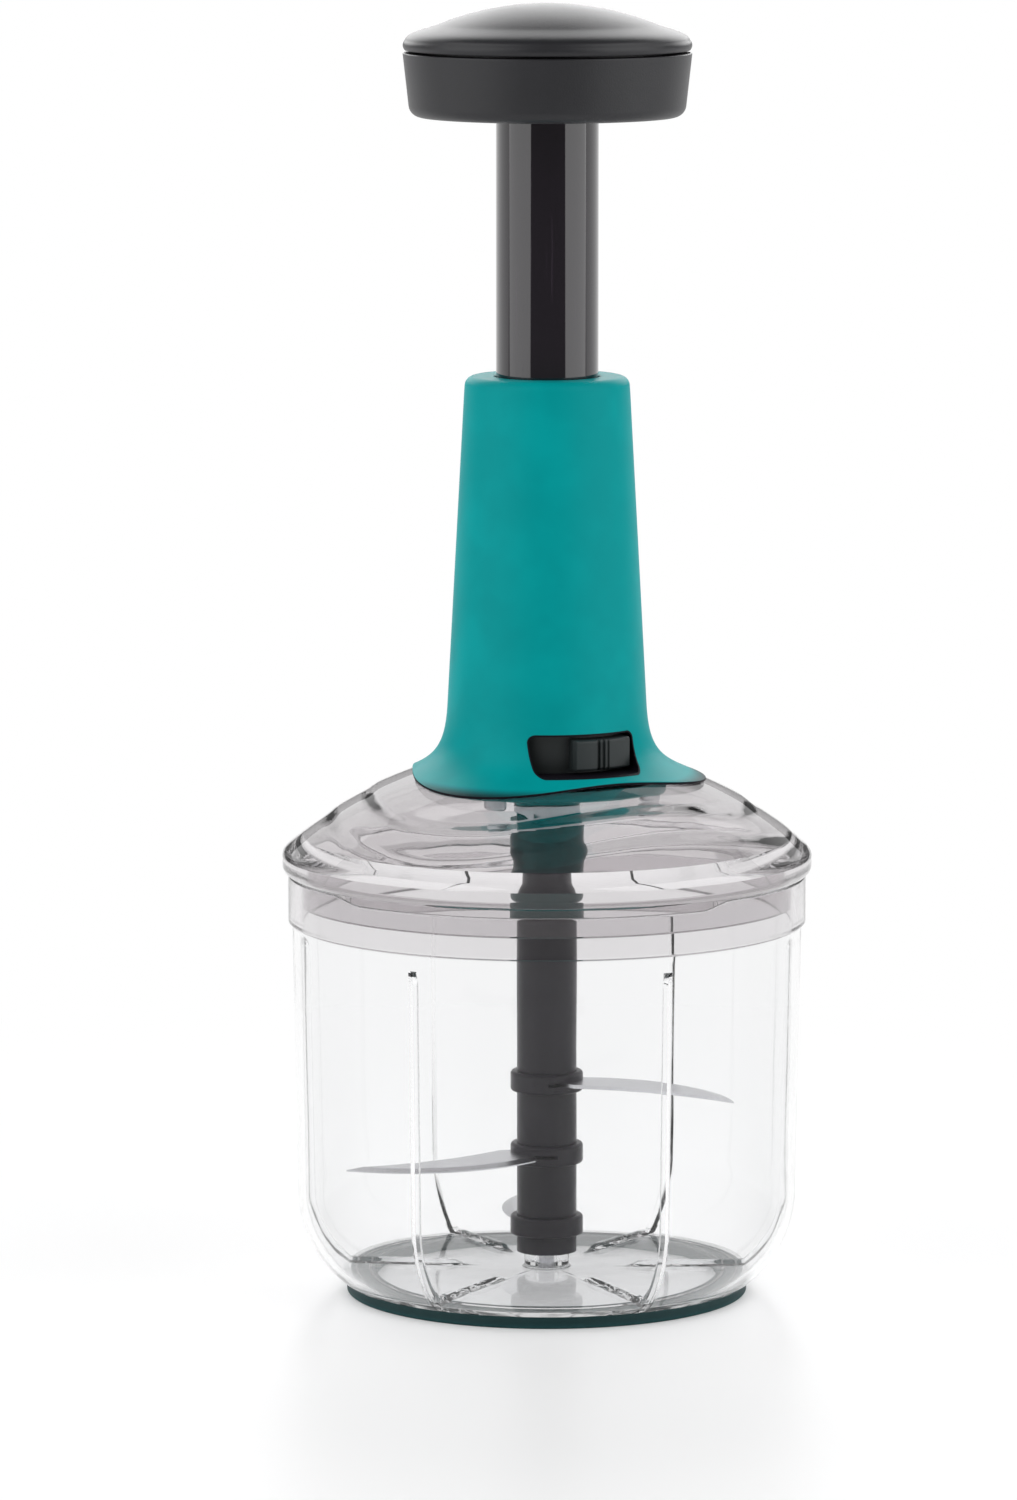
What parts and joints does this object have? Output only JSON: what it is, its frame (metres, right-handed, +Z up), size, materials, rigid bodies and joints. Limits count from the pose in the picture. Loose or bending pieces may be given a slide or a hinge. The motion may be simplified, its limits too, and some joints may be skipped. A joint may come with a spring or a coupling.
{
  "type": "push-down vegetable chopper",
  "caption": "Hand chopper with a clear bowl and lid: pressing the round knob turns sickle blades through a twisted bar, and a slide lock holds the plunger down.",
  "frame": {"origin": "centre of the base ring's underside, on the table", "axes": "+Z up along the plunger, -Y towards the front, where the lock window is, +X to the right"},
  "size_m": [0.13, 0.13, 0.317],
  "materials": {
    "clear_plastic": "clear moulded plastic",
    "teal_plastic": "satin teal moulded plastic",
    "teal_rubber": "soft moulded ring",
    "black_gloss": "polished black plastic",
    "dark_grey": "fine-textured dark grey plastic",
    "knob_grey": "matte dark grey plastic",
    "lock_grey": "dark grey-brown plastic",
    "black_plastic": "black moulded plastic",
    "nylon": "natural nylon",
    "steel": "stainless steel",
    "blade_steel": "ground stainless steel",
    "screw_steel": "plated steel"
  },
  "bodies": {
    "bowl": {"bowl": "clear_plastic", "base_ring": "teal_rubber", "pivot_pin": "steel"},
    "blade_rotor": {"blade_shaft": "black_plastic", "blade_lower": "blade_steel", "blade_middle": "blade_steel", "blade_upper": "blade_steel"},
    "lid": {"lid": "clear_plastic", "housing": "teal_plastic", "guide_sleeve": "nylon", "drive_cover": "teal_plastic", "cover_screws": "screw_steel", "bearing_bush": "nylon", "thrust_washer": "steel", "return_spring": "steel"},
    "lock": {"lock_ring": "dark_grey", "lock_button": "lock_grey"},
    "plunger": {"plunger_tube": "black_gloss", "plunger_foot": "black_plastic", "drive_nut": "nylon", "knob_base": "knob_grey", "knob_cap": "knob_grey", "knob_screw": "screw_steel"},
    "drive_bar": {"drive_bar": "steel", "spring_seat": "nylon", "retaining_clip": "steel"},
    "drive_socket": {"drive_socket": "teal_plastic"}
  },
  "joints": [
    {"name": "lid_lift", "type": "slide", "parent": "bowl", "child": "lid", "axis": [0, 0, 1], "range_m": [0, 0.12]},
    {"name": "plunger_slide", "type": "slide", "parent": "lid", "child": "plunger", "axis": [0, 0, -1], "range_m": [0, 0.06], "stiffness_N_per_m": 300, "springref_m": -0.02, "deforming": ["return_spring"]},
    {"name": "lock_turn", "type": "hinge", "parent": "lid", "child": "lock", "pos_m": [0, 0, 0.136], "axis": [0, 0, -1], "range_deg": [0, 20]},
    {"name": "bar_spin", "type": "hinge", "parent": "lid", "child": "drive_bar", "pos_m": [0, 0, 0.16], "axis": [0, 0, 1], "range_deg": [0, 541]},
    {"name": "socket_spin", "type": "hinge", "parent": "lid", "child": "drive_socket", "pos_m": [0, 0, 0.11], "axis": [0, 0, 1], "continuous": true},
    {"name": "blade_spin", "type": "hinge", "parent": "bowl", "child": "blade_rotor", "pos_m": [0, 0, 0.05], "axis": [0, 0, 1], "continuous": true}
  ],
  "couplings": [
    {"joint": "bar_spin", "follows": "plunger_slide", "rad_per_m": 157.08},
    {"joint": "socket_spin", "follows": "plunger_slide", "rad_per_m": 157.08},
    {"joint": "blade_spin", "follows": "plunger_slide", "rad_per_m": 157.08}
  ]
}
